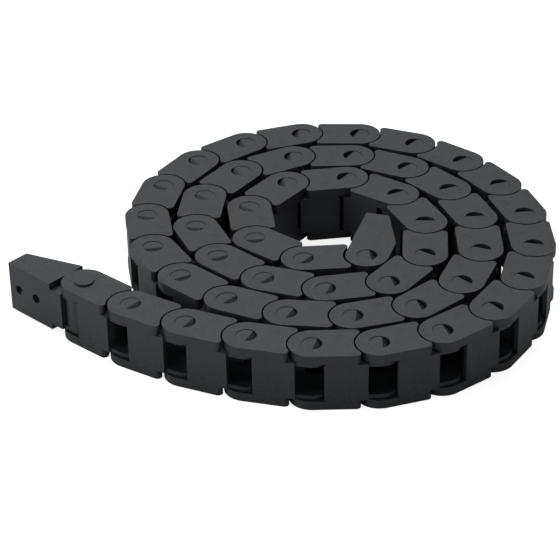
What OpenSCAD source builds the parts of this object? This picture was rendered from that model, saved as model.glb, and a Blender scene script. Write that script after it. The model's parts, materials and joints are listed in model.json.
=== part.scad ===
// Cable drag chain, coiled flat for storage: identical one-piece links hinged
// on their own pins, with an end bracket at each end.
// The chain lies on its side, so every hinge axis is vertical. The origin is
// the centre of the outer bracket's two screw holes, on its foot's outer face.

/* [Chain] */
// Number of identical links between the two end brackets
link_count = 48; // [24:1:48]
// Distance from one hinge pin to the next
pitch = 20; // [19:0.1:22]
// Height of the channel that holds the cables, from tongue to tongue
channel = 10; // [8:0.5:14]

/* [Link] */
// Radius of the round ear, half the height of a link's side plate
ear_r = 7.1; // [6.6:0.05:7.8]
// Thickness of a side plate at its ear
ear_wall = 2.9; // [2.4:0.1:3.4]
// Thickness of the tongue that carries the pin
tongue_wall = 1.3; // [1:0.1:1.8]
// How far a tongue's edge lies inside the edge of the ears
tongue_step = 0.9; // [0.9:0.05:1.2]
// Thickness of the crossbars that close the channel
crossbar_wall = 1.4; // [1.2:0.05:1.4]
// Open window between the crossbars of two links in line
window = 7; // [7:0.1:8]
// Radius of the corners beside the hollow end of a side plate
corner_r = 1.4; // [1.2:0.1:1.6]

/* [Hinge] */
// Diameter of the hinge pins
pin_d = 6.3; // [5:0.1:7]
// Radial clearance of a pin in its hole
pin_clearance = 0.08; // [0.03:0.01:0.1]
// Gap around an ear, between it and the hollow end of the plate before it
joint_gap = 0.55; // [0.5:0.05:0.6]
// Side clearance between an ear and the tongue beneath it
side_gap = 0.3; // [0.2:0.05:0.5]
// How far a pin's end lies below the ear around it
pin_recess = 0.15; // [0.05:0.05:0.4]
// How far past its centre a pin's end stays flat, before the ramp
pin_flat = 0.9; // [0.5:0.1:2]
// Slope of the ramp, in degrees, over which the next ear snaps on
pin_slope = 36; // [20:1:45]

/* [End brackets] */
// Length of the outer bracket from its hinge pin to its far end
outer_length = 27.4; // [26.4:0.2:30]
// Distance from the outer bracket's hinge pin to its cover plates
outer_plate_end = 8.4; // [8.2:0.1:9]
// How far the outer bracket's cover plates lie below the links' plates
outer_inset = 1.1; // [0.8:0.1:1.4]
// How far the outer bracket's upper pin stands above the first link's ear
outer_pin_rise = 0.6; // [0.3:0.1:1]
// Length of the inner bracket from its hinge pin to its far end
inner_length = 25.4; // [24.4:0.2:27]
// How much smaller the inner bracket's ears are than a link's, to turn further
inner_ear_trim = 0.2; // [0.2:0.05:0.4]
// Width of a bracket's side plate at its far end
bracket_tip = 7.6; // [7.2:0.1:8.4]
// Thickness of a bracket's foot, the wall with the screw holes
foot_wall = 2; // [1.6:0.1:2.6]
// Diameter of the screw holes
screw_d = 3.2; // [2.6:0.1:3.8]
// Distance between the two screw holes of a bracket
screw_spacing = 8; // [7:0.5:9]
// Distance from a bracket's far end to its first screw hole
screw_from_end = 4.2; // [3.6:0.1:5]

/* [Coil] */
// Gap left between one turn of the coil and the next
coil_gap = 1.4; // [1.4:0.1:6]
// Radius of the coil's tightest turn, just outside the core, in pitches
coil_radius = 1.54; // [1.54:0.01:1.7]
// How much the radius swells and shrinks twice a turn, in pitches: the oval
coil_oval = 0.31; // [0.29:0.005:0.33]
// Heading at which the oval is flattest, in degrees from the last link's heading
oval_heading = 136; // [132:0.5:138]
// How much the radius swells and shrinks three times a turn, in pitches
coil_egg = 0.24; // [0.22:0.005:0.26]
// Heading of one of those three swells, in degrees from the last link's heading
egg_heading = 107; // [103:0.5:112]
// Number of links at the core that are bent as far as they go
core_links = 4; // [3:1:4]
// Bend of the core links, in degrees
core_bend = 44; // [43:0.1:45]
// Number of nearly straight links at the outer end
lead_links = 3; // [1:1:5]
// Bend of those lead links, in degrees
lead_bend = 8.8; // [6:0.1:12]
// Bend between the outer bracket and the first link, in degrees
outer_bend = 2; // [1:0.5:8]
// Bend between the last link and the inner bracket, in degrees
inner_bend = 69; // [66:0.5:69]

/* [Hidden] */
$fn = 96;
plate = ear_wall + side_gap;
inner_wall = plate + tongue_wall;
width = channel + 2 * inner_wall;
hollow_r = ear_r + joint_gap;
tongue_r = ear_r - tongue_step;
inner_ear_r = ear_r - inner_ear_trim;
hole_r = pin_d / 2 + pin_clearance;
pocket_r = tongue_r + side_gap;
inner_start = window / 2 + 0.5;
corner_y = ear_r - corner_r;
corner_x = pitch - sqrt(pow(hollow_r + corner_r, 2) - pow(corner_y, 2));
mount_x = outer_length - screw_from_end - screw_spacing / 2;

// Radius of the coil at a heading, in degrees from the last link's heading.
function coil_r(heading) =
    coil_radius * pitch
    - (2 * ear_r + coil_gap) * (heading + core_links * core_bend) / 360
    + coil_oval * pitch * cos(2 * (heading - oval_heading))
    + coil_egg * pitch * cos(3 * (heading - egg_heading));

// Bend at the hinge between link k and link k + 1, whose heading is given.
function bend_after(k, heading) =
    k == 0 ? outer_bend
    : k >= link_count ? inner_bend
    : k >= link_count - core_links ? core_bend
    : k <= lead_links ? lead_bend
    : min(core_bend, 2 * asin(pitch / 2 / coil_r(heading)));

// Headings of the outer bracket, the links and the inner bracket, worked out
// from the last link outwards because each turn lies around the one inside it.
function headings_out(k, found) =
    k < 0 ? found
    : headings_out(k - 1, concat([found[0] - bend_after(k, found[0])], found));
raw_headings = headings_out(link_count - 1, [0, inner_bend]);
heading = [for (h = raw_headings) h - raw_headings[0]];

// Hinge pins from the outer bracket inwards.
function pins_in(k, found) =
    k > link_count ? found
    : pins_in(k + 1, concat(found, [found[k - 1]
        + pitch * [cos(heading[k]), sin(heading[k])]]));
pins = pins_in(1, [[mount_x, ear_r]]);

// A vertical wall of a flat outline between two heights.
module slab(low, high) {
    translate([0, 0, low]) linear_extrude(high - low) children();
}

// The same shape on both sides of the chain.
module both_sides() {
    children();
    translate([0, 0, width]) mirror([0, 0, 1]) children();
}

// Outline of a link's side plate: a round ear at the origin and a hollow end
// around the next link's ear.
module side_outline() {
    difference() {
        union() {
            circle(ear_r);
            polygon([[0, -ear_r], [corner_x, -ear_r], [corner_x, -corner_y],
                [pitch, 0], [corner_x, corner_y], [corner_x, ear_r], [0, ear_r]]);
        }
        translate([pitch, 0]) circle(hollow_r);
    }
    for (s = [-1, 1]) translate([corner_x, s * corner_y]) circle(corner_r);
}

// Part of the side plate that is thick, beyond the reach of the tongue that
// turns in the pocket behind the ear.
module thick_outline() {
    difference() {
        intersection() {
            side_outline();
            translate([inner_start, -ear_r]) square([pitch, 2 * ear_r]);
        }
        circle(pocket_r);
    }
}

// Tongue that runs from the plate at x = from to the pin at x = pin_x.
module tongue_outline(from, pin_x) {
    translate([from, -tongue_r]) square([pin_x - from, 2 * tongue_r]);
    translate([pin_x, 0]) circle(tongue_r);
}

// Pin in an ear. A ramp on its end faces the link that it carries.
module pin() {
    difference() {
        translate([0, 0, pin_recess]) cylinder(d = pin_d, h = plate + 0.1 - pin_recess);
        translate([pin_flat, 0, pin_recess]) rotate([0, -pin_slope, 0])
            translate([0, -pin_d, -2 * pin_d]) cube([2 * pin_d, 2 * pin_d, 2 * pin_d]);
    }
}

// One side of a link.
module side_wall() {
    difference() {
        union() {
            slab(0, ear_wall) side_outline();
            slab(ear_wall, inner_wall) thick_outline();
        }
        translate([0, 0, -1]) cylinder(r = hole_r, h = ear_wall + 2);
    }
    slab(plate, inner_wall) tongue_outline(pitch / 2, pitch);
    translate([pitch, 0, 0]) pin();
}

// One-piece link: two side walls and the two crossbars between them.
module link() {
    both_sides() side_wall();
    for (s = [-1, 1]) translate([window / 2, s > 0 ? ear_r - crossbar_wall : -ear_r, plate])
        cube([pitch - window, crossbar_wall, width - 2 * plate]);
}

// Side plate of a bracket, tapering to its far end. The foot is on the -y side.
module bracket_outline(near, far) {
    polygon([[near, -ear_r], [far, -ear_r], [far, bracket_tip - ear_r], [near, ear_r]]);
}

// Two screw holes through a foot on the -y side, from its far end at x = far.
module screw_holes(far) {
    side = far > 0 ? -1 : 1;
    for (n = [0, 1]) translate([far + side * (screw_from_end + n * screw_spacing), 0, width / 2])
        rotate([90, 0, 0]) cylinder(d = screw_d, h = 2 * ear_r);
}

// Outer bracket: two covered tongues with pins on a foot. Pin at the origin.
module outer_bracket() {
    both_sides() {
        slab(outer_inset, plate) bracket_outline(-outer_plate_end, -outer_length);
        slab(plate, inner_wall) {
            bracket_outline(-outer_plate_end, -outer_length);
            tongue_outline(-outer_plate_end - 1, 0);
        }
        pin();
    }
    translate([0, 0, width - plate]) cylinder(d = pin_d, h = plate + outer_pin_rise);
    difference() {
        union() {
            translate([-outer_length, -ear_r, outer_inset])
                cube([outer_length - outer_plate_end, foot_wall, width - 2 * outer_inset]);
            slab(plate, width - plate) foot_reach();
        }
        screw_holes(-outer_length);
    }
}

// The foot carries on beneath the first link's ears, clear of its crossbars.
module foot_reach() {
    translate([-outer_plate_end - 1, -ear_r])
        square([outer_plate_end + 1 - window / 2, foot_wall]);
    intersection() {
        circle(tongue_r);
        translate([-window, -ear_r]) square([1.45 * window, ear_r - tongue_r + foot_wall]);
    }
}

// Inner bracket: two ears on a foot. Ears at the origin, foot on the +y side.
module inner_bracket() {
    foot_start = inner_ear_r + 1.8;
    mirror([0, 1, 0]) {
        both_sides() difference() {
            union() {
                slab(0, ear_wall) {
                    circle(inner_ear_r);
                    translate([0, -inner_ear_r]) square([foot_start, 2 * inner_ear_r]);
                }
                slab(0, inner_wall) bracket_outline(foot_start, inner_length);
            }
            translate([0, 0, -1]) cylinder(r = hole_r, h = ear_wall + 2);
        }
        difference() {
            translate([foot_start, -ear_r, 0])
                cube([inner_length - foot_start, foot_wall, width]);
            screw_holes(inner_length);
        }
    }
}

// Puts a piece at its pin and heading in the coil.
module place(k) {
    translate([pins[max(0, k - 1)].x, pins[max(0, k - 1)].y, -width / 2])
        rotate(heading[k]) children();
}

color("#4b535c") place(0) outer_bracket();

for (i = [1:link_count])
    color("#4b535c") place(i) link();

color("#4b535c") place(link_count + 1) inner_bracket();
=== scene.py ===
"""Cable drag chain, coiled flat: looks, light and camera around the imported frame."""
import json
import math

import bmesh
import bpy
from mathutils import Matrix, Vector


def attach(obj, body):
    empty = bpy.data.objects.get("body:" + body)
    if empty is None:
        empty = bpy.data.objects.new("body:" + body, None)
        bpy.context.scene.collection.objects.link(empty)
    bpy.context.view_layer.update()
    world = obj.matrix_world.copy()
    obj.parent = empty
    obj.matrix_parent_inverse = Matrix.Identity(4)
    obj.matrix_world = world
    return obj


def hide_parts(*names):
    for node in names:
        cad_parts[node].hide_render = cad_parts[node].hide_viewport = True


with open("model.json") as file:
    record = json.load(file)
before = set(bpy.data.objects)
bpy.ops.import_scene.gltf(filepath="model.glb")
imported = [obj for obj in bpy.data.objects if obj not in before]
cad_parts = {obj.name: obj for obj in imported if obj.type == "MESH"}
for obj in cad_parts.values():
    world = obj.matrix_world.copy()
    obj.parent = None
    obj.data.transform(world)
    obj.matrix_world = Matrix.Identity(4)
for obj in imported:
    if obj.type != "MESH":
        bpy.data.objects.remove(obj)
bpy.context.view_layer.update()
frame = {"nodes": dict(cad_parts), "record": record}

MM = 0.001
HALF_WIDTH = 9.5 * MM
FLOOR_Z = -HALF_WIDTH


# ---------------------------------------------------------------- camera
def make_camera():
    """Camera at the studio's angle: a long lens from the outer side, looking down."""
    place = Vector((0.46931, -0.37913, 0.37476))
    heading, down, roll = math.radians(133.515), math.radians(31.83), 0.01988
    ahead = Vector((math.cos(heading) * math.cos(down), math.sin(heading) * math.cos(down), -math.sin(down)))
    right = Vector((math.sin(heading), -math.cos(heading), 0.0))
    up = right.cross(ahead)
    x_axis = right * math.cos(roll) - up * math.sin(roll)
    y_axis = right * math.sin(roll) + up * math.cos(roll)
    data = bpy.data.cameras.new("camera")
    data.sensor_width = 36.0
    data.lens = 144.53
    data.clip_start, data.clip_end = 0.01, 20.0
    cam = bpy.data.objects.new("camera", data)
    cam.matrix_world = Matrix((
        (x_axis.x, y_axis.x, -ahead.x, place.x),
        (x_axis.y, y_axis.y, -ahead.y, place.y),
        (x_axis.z, y_axis.z, -ahead.z, place.z),
        (0, 0, 0, 1)))
    bpy.context.scene.collection.objects.link(cam)
    bpy.context.scene.camera = cam
    return cam


# ---------------------------------------------------------------- materials
def nodes_of(mat):
    mat.use_nodes = True
    tree = mat.node_tree
    tree.nodes.clear()
    out = tree.nodes.new("ShaderNodeOutputMaterial")
    return tree, out


def add(tree, kind, **inputs):
    node = tree.nodes.new(kind)
    for key, value in inputs.items():
        node.inputs[key.replace("_", " ")].default_value = value
    return node


def ramp(tree, fac, low, high, c0, c1):
    node = tree.nodes.new("ShaderNodeValToRGB")
    node.color_ramp.elements[0].position = low
    node.color_ramp.elements[1].position = high
    node.color_ramp.elements[0].color = (*c0, 1)
    node.color_ramp.elements[1].color = (*c1, 1)
    tree.links.new(fac, node.inputs["Fac"])
    return node


def nylon(name, base=(0.0190, 0.0213, 0.0252), grain=1.0):
    """Moulded glass-filled nylon: fine sparked grain, faint flow marks, paler rubbed spots."""
    mat = bpy.data.materials.new(name)
    tree, out = nodes_of(mat)
    link = tree.links.new
    bsdf = add(tree, "ShaderNodeBsdfPrincipled")
    bsdf.inputs["Specular IOR Level"].default_value = 0.5
    bsdf.inputs["IOR"].default_value = 1.5
    link(bsdf.outputs["BSDF"], out.inputs["Surface"])
    coord = add(tree, "ShaderNodeTexCoord")
    where = coord.outputs["Object"]

    cloud = add(tree, "ShaderNodeTexNoise", Scale=90.0, Detail=4.0, Roughness=0.6)
    link(where, cloud.inputs["Vector"])
    fleck = add(tree, "ShaderNodeTexNoise", Scale=1300.0, Detail=3.0, Roughness=0.7)
    link(where, fleck.inputs["Vector"])
    rub = add(tree, "ShaderNodeTexNoise", Scale=420.0, Detail=8.0, Roughness=0.72, Distortion=0.6)
    link(where, rub.inputs["Vector"])

    tone = ramp(tree, cloud.outputs["Fac"], 0.35, 0.68,
                tuple(0.86 * c for c in base), tuple(1.16 * c for c in base))
    specks = ramp(tree, fleck.outputs["Fac"], 0.50, 0.72, (0, 0, 0), (1, 1, 1))
    pale = tree.nodes.new("ShaderNodeMix")
    pale.data_type = "RGBA"
    link(specks.outputs["Color"], pale.inputs["Factor"])
    link(tone.outputs["Color"], pale.inputs[6])
    pale.inputs[7].default_value = (*(1.8 * c for c in base), 1)

    scuff = ramp(tree, rub.outputs["Fac"], 0.66, 0.80, (0, 0, 0), (1, 1, 1))
    worn = tree.nodes.new("ShaderNodeMix")
    worn.data_type = "RGBA"
    link(scuff.outputs["Color"], worn.inputs["Factor"])
    link(pale.outputs[2], worn.inputs[6])
    worn.inputs[7].default_value = (*(2.3 * c for c in base), 1)
    link(worn.outputs[2], bsdf.inputs["Base Color"])

    rough = ramp(tree, rub.outputs["Fac"], 0.3, 0.75, (0.40, 0.40, 0.40), (0.56, 0.56, 0.56))
    link(rough.outputs["Color"], bsdf.inputs["Roughness"])

    spark = add(tree, "ShaderNodeTexNoise", Scale=1900.0, Detail=4.0, Roughness=0.7)
    link(where, spark.inputs["Vector"])
    flow = add(tree, "ShaderNodeTexNoise", Scale=160.0, Detail=3.0, Roughness=0.5, Distortion=1.2)
    link(where, flow.inputs["Vector"])
    bump_fine = add(tree, "ShaderNodeBump", Strength=0.55 * grain, Distance=0.00014)
    link(spark.outputs["Fac"], bump_fine.inputs["Height"])
    bump_flow = add(tree, "ShaderNodeBump", Strength=0.22 * grain, Distance=0.00025)
    link(flow.outputs["Fac"], bump_flow.inputs["Height"])
    link(bump_flow.outputs["Normal"], bump_fine.inputs["Normal"])
    link(bump_fine.outputs["Normal"], bsdf.inputs["Normal"])
    return mat


def floor_material():
    """White paper sweep: bright to the camera, matt to the light, with the object's shadow."""
    mat = bpy.data.materials.new("paper_white")
    tree, out = nodes_of(mat)
    link = tree.links.new
    bsdf = add(tree, "ShaderNodeBsdfPrincipled", Roughness=0.9)
    bsdf.inputs["Base Color"].default_value = (0.9, 0.9, 0.9, 1)
    bsdf.inputs["Specular IOR Level"].default_value = 0.0
    glow = add(tree, "ShaderNodeEmission", Strength=0.80)
    both = tree.nodes.new("ShaderNodeAddShader")
    link(bsdf.outputs["BSDF"], both.inputs[0])
    link(glow.outputs["Emission"], both.inputs[1])
    path = tree.nodes.new("ShaderNodeLightPath")
    pick = tree.nodes.new("ShaderNodeMixShader")
    link(path.outputs["Is Camera Ray"], pick.inputs["Fac"])
    link(bsdf.outputs["BSDF"], pick.inputs[1])
    link(both.outputs["Shader"], pick.inputs[2])
    link(pick.outputs["Shader"], out.inputs["Surface"])
    return mat


# ---------------------------------------------------------------- rounded mouldings
def rounded_mesh(source, to_local, name, radius):
    """The node's own faces with every sharp moulded edge rounded off."""
    bm = bmesh.new()
    bm.from_mesh(source)
    bm.transform(to_local)
    bmesh.ops.remove_doubles(bm, verts=bm.verts, dist=1e-6)
    bmesh.ops.dissolve_limit(bm, angle_limit=math.radians(0.6), verts=bm.verts, edges=bm.edges)
    sharp = [e for e in bm.edges if len(e.link_faces) == 2 and e.calc_face_angle(0.0) > math.radians(28)]
    bmesh.ops.bevel(bm, geom=sharp, offset=radius, offset_type="OFFSET", segments=2, profile=0.6,
                    affect="EDGES", clamp_overlap=True, harden_normals=False, miter_outer="SHARP")
    bmesh.ops.remove_doubles(bm, verts=bm.verts, dist=2e-7)
    bmesh.ops.triangulate(bm, faces=[f for f in bm.faces if len(f.verts) > 4])
    for face in bm.faces:
        face.smooth = True
    mesh = bpy.data.meshes.new(name)
    bm.to_mesh(mesh)
    bm.free()
    return mesh


# ---------------------------------------------------------------- the coil's layout
LINKS = 48
PITCH = 20.0 * MM
COIL_RADIUS, TURN_STEP = 1.54 * PITCH, 15.6 * MM
OVAL, OVAL_HEADING = 0.31 * PITCH, 136.0
EGG, EGG_HEADING = 0.24 * PITCH, 107.0
CORE_LINKS, CORE_BEND = 4, 44.0
LEAD_LINKS, LEAD_BEND, OUTER_BEND = 3, 8.8, 2.0
FIRST_PIN = Vector((19.2 * MM, 7.1 * MM, 0.0))


def coil_radius(heading):
    """Radius of the coil at a heading in degrees, as part.scad has it."""
    return (COIL_RADIUS - TURN_STEP * (heading + CORE_LINKS * CORE_BEND) / 360
            + OVAL * math.cos(math.radians(2 * (heading - OVAL_HEADING)))
            + EGG * math.cos(math.radians(3 * (heading - EGG_HEADING))))


def bend_after(k, heading):
    """Bend at the hinge between link k and the next, whose heading is given."""
    if k == 0:
        return OUTER_BEND
    if k >= LINKS - CORE_LINKS:
        return CORE_BEND
    if k <= LEAD_LINKS:
        return LEAD_BEND
    return min(CORE_BEND, 2 * math.degrees(math.asin(PITCH / 2 / coil_radius(heading))))


def link_places():
    """Where each link sits: its ear's pin, and the way it points."""
    headings = [0.0]
    for k in range(LINKS - 1, -1, -1):
        headings.insert(0, headings[0] - bend_after(k, headings[0]))
    pin, places = FIRST_PIN.copy(), []
    for heading in headings[1:]:
        turn = Matrix.Rotation(math.radians(heading - headings[0]), 4, "Z")
        places.append(Matrix.Translation(pin) @ turn)
        pin = pin + turn @ Vector((PITCH, 0.0, 0.0))
    return places


def dress():
    """Each moulding with rounded edges, at its own place in the coil."""
    mat = nylon("chain_nylon")
    made = None
    for i, place in enumerate(link_places(), 1):
        node = f"link_{i}"
        if made is None:
            made = rounded_mesh(frame["nodes"][node].data, place.inverted(), "rounded_link", 0.28 * MM)
            made.materials.append(mat)
        piece = bpy.data.objects.new(f"moulded_{node}", made)
        piece.matrix_world = place
        bpy.context.scene.collection.objects.link(piece)
        finish_piece(piece, node)
    for node in ("outer_bracket", "inner_bracket"):
        mesh = rounded_mesh(frame["nodes"][node].data, Matrix.Identity(4), f"rounded_{node}", 0.25 * MM)
        mesh.materials.append(mat)
        piece = bpy.data.objects.new(f"moulded_{node}", mesh)
        bpy.context.scene.collection.objects.link(piece)
        finish_piece(piece, node)


def finish_piece(piece, node):
    smooth = piece.modifiers.new("weighted", "WEIGHTED_NORMAL")
    smooth.keep_sharp = False
    smooth.weight = 80
    bodies = frame["record"]["behaviour"]["bodies"]
    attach(piece, next(body for body, nodes in bodies.items() if node in nodes))
    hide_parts(node)


# ---------------------------------------------------------------- stage and light
def make_stage():
    mesh = bpy.data.meshes.new("floor")
    size = 4.0
    mesh.from_pydata([(-size, -size, FLOOR_Z), (size, -size, FLOOR_Z), (size, size, FLOOR_Z), (-size, size, FLOOR_Z)],
                     [], [(0, 1, 2, 3)])
    mesh.materials.append(floor_material())
    floor = bpy.data.objects.new("floor", mesh)
    bpy.context.scene.collection.objects.link(floor)

    world = bpy.data.worlds.new("studio")
    bpy.context.scene.world = world
    world.use_nodes = True
    tree = world.node_tree
    back = tree.nodes["Background"]
    back.inputs["Color"].default_value = (1, 1, 1, 1)
    back.inputs["Strength"].default_value = 0.27
    seen = add(tree, "ShaderNodeBackground", Strength=1.0)
    path = tree.nodes.new("ShaderNodeLightPath")
    pick = tree.nodes.new("ShaderNodeMixShader")
    tree.links.new(path.outputs["Is Camera Ray"], pick.inputs["Fac"])
    tree.links.new(back.outputs["Background"], pick.inputs[1])
    tree.links.new(seen.outputs["Background"], pick.inputs[2])
    tree.links.new(pick.outputs["Shader"], tree.nodes["World Output"].inputs["Surface"])


def softbox(name, place, target, size, power, colour=(1, 1, 1)):
    data = bpy.data.lights.new(name, "AREA")
    data.shape = "RECTANGLE"
    data.size, data.size_y = size
    data.energy = power
    data.color = colour
    lamp = bpy.data.objects.new(name, data)
    lamp.location = place
    lamp.rotation_euler = (Vector(target) - Vector(place)).to_track_quat("-Z", "Y").to_euler()
    bpy.context.scene.collection.objects.link(lamp)


make_camera()
make_stage()
centre = (0.052, 0.082, 0.0)
heading = math.radians(133.515)
away = Vector((math.cos(heading), math.sin(heading), 0.0))
right = Vector((math.sin(heading), -math.cos(heading), 0.0))
softbox("overhead", Vector(centre) + away * 0.60 - right * 0.20 + Vector((0, 0, 0.90)), centre,
        (1.2, 0.9), 6.6, (0.86, 0.94, 1.0))
softbox("left", Vector(centre) - right * 0.95 - away * 0.30 + Vector((0, 0, 0.30)), centre,
        (0.5, 0.5), 3.2)
dress()

bpy.context.scene.view_settings.view_transform = "Standard"
